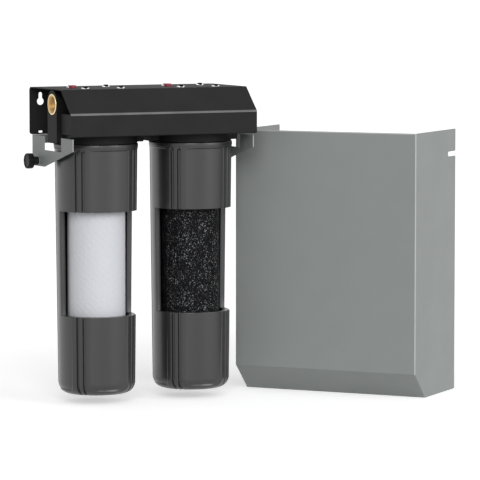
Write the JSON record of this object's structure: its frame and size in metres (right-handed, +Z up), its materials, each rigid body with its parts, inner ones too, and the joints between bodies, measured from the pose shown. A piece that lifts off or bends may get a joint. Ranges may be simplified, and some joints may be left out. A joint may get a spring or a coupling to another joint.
{
  "type": "whole house water filter",
  "caption": "Twin whole house water filter on a folded wall bracket, with cut-away bowls that show the cartridges, brass ports, relief buttons and a lift-off cover beside it.",
  "frame": {"origin": "wall plate's back face, midway across it and halfway up the hood", "axes": "+X to the outlet side, +Y into the wall, +Z up; the object stands in front of the wall, on the -Y side"},
  "size_m": [0.9255, 0.4754, 0.6783],
  "materials": {
    "black_steel": "satin black powder coat",
    "grey_steel": "grey powder coat",
    "cover_grey": "grey powder coat, fine texture",
    "black_plastic": "moulded",
    "bowl_grey": "moulded, satin",
    "brass": "machined",
    "zinc": "zinc plated",
    "red_plastic": "moulded",
    "rubber": "smooth",
    "white_media": "spun fibre",
    "white_plastic": "moulded",
    "carbon": "carbon block in a net"
  },
  "bodies": {
    "bracket": {"wall_plate": "black_steel", "hood": "black_steel", "hood_rivet_1": "black_steel", "hood_rivet_2": "black_steel", "hood_rivet_3": "black_steel", "hood_rivet_4": "black_steel", "bracket_rivet_1": "black_steel", "bracket_rivet_2": "black_steel", "bracket_rivet_3": "black_steel", "bracket_rivet_4": "black_steel", "cover_bracket": "grey_steel", "left_end_panel": "black_steel", "left_head": "black_plastic", "left_head_screw_1": "black_steel", "left_head_screw_2": "black_steel", "left_head_screw_3": "black_steel", "left_head_screw_4": "black_steel", "left_link_insert": "brass", "left_weld_nut": "zinc", "right_end_panel": "black_steel", "right_head": "black_plastic", "right_head_screw_1": "black_steel", "right_head_screw_2": "black_steel", "right_head_screw_3": "black_steel", "right_head_screw_4": "black_steel", "right_link_insert": "brass", "right_weld_nut": "zinc", "inlet_insert": "brass", "outlet_insert": "brass", "link_nipple": "brass"},
    "sediment_cartridge": {"sediment_lower_cap": "white_plastic", "sediment_media": "white_media", "sediment_upper_cap": "white_plastic"},
    "left_bowl": {"left_bowl": "bowl_grey", "left_bowl_seal": "rubber"},
    "left_button": {"left_relief_button": "red_plastic"},
    "left_washer": {"left_knob_washer": "zinc"},
    "left_knob": {"left_knob": "black_plastic"},
    "carbon_cartridge": {"carbon_lower_cap": "black_plastic", "carbon_media": "carbon", "carbon_upper_cap": "black_plastic"},
    "right_bowl": {"right_bowl": "bowl_grey", "right_bowl_seal": "rubber"},
    "right_button": {"right_relief_button": "red_plastic"},
    "right_washer": {"right_knob_washer": "zinc"},
    "right_knob": {"right_knob": "black_plastic"},
    "cover": {"cover": "cover_grey"}
  },
  "joints": [
    {"name": "left_bowl_travel", "type": "slide", "parent": "bracket", "child": "sediment_cartridge", "axis": [0, 0, -1], "range_m": [0, 0.0241]},
    {"name": "left_bowl_turn", "type": "hinge", "parent": "sediment_cartridge", "child": "left_bowl", "pos_m": [-0.111, -0.116, -0.0685], "axis": [0, 0, -1], "range_deg": [0, 1080]},
    {"name": "left_button_press", "type": "slide", "parent": "bracket", "child": "left_button", "axis": [0, 0, -1], "range_m": [0, 0.003], "stiffness_N_per_m": 1500, "springref_m": -0.002},
    {"name": "left_knob_travel", "type": "slide", "parent": "bracket", "child": "left_washer", "axis": [-1, 0, 0], "range_m": [0, 0.00505]},
    {"name": "left_knob_turn", "type": "hinge", "parent": "left_washer", "child": "left_knob", "pos_m": [-0.2103, -0.039, -0.1074], "axis": [-1, 0, 0], "range_deg": [0, 1440]},
    {"name": "right_bowl_travel", "type": "slide", "parent": "bracket", "child": "carbon_cartridge", "axis": [0, 0, -1], "range_m": [0, 0.0241]},
    {"name": "right_bowl_turn", "type": "hinge", "parent": "carbon_cartridge", "child": "right_bowl", "pos_m": [0.111, -0.116, -0.0685], "axis": [0, 0, -1], "range_deg": [0, 1080]},
    {"name": "right_button_press", "type": "slide", "parent": "bracket", "child": "right_button", "axis": [0, 0, -1], "range_m": [0, 0.003], "stiffness_N_per_m": 1500, "springref_m": -0.002},
    {"name": "right_knob_travel", "type": "slide", "parent": "bracket", "child": "right_washer", "axis": [1, 0, 0], "range_m": [0, 0.00505]},
    {"name": "right_knob_turn", "type": "hinge", "parent": "right_washer", "child": "right_knob", "pos_m": [0.2103, -0.039, -0.1074], "axis": [1, 0, 0], "range_deg": [0, 1440]},
    {"name": "cover_away", "type": "slide", "parent": "bracket", "child": "cover", "axis": [0, -1, 0], "range_m": [0, 0.5]}
  ],
  "couplings": [
    {"joint": "left_bowl_travel", "follows": "left_bowl_turn", "m_per_rad": 0.0012732},
    {"joint": "left_knob_travel", "follows": "left_knob_turn", "m_per_rad": 0.00019894},
    {"joint": "right_bowl_travel", "follows": "right_bowl_turn", "m_per_rad": 0.0012732},
    {"joint": "right_knob_travel", "follows": "right_knob_turn", "m_per_rad": 0.00019894}
  ]
}
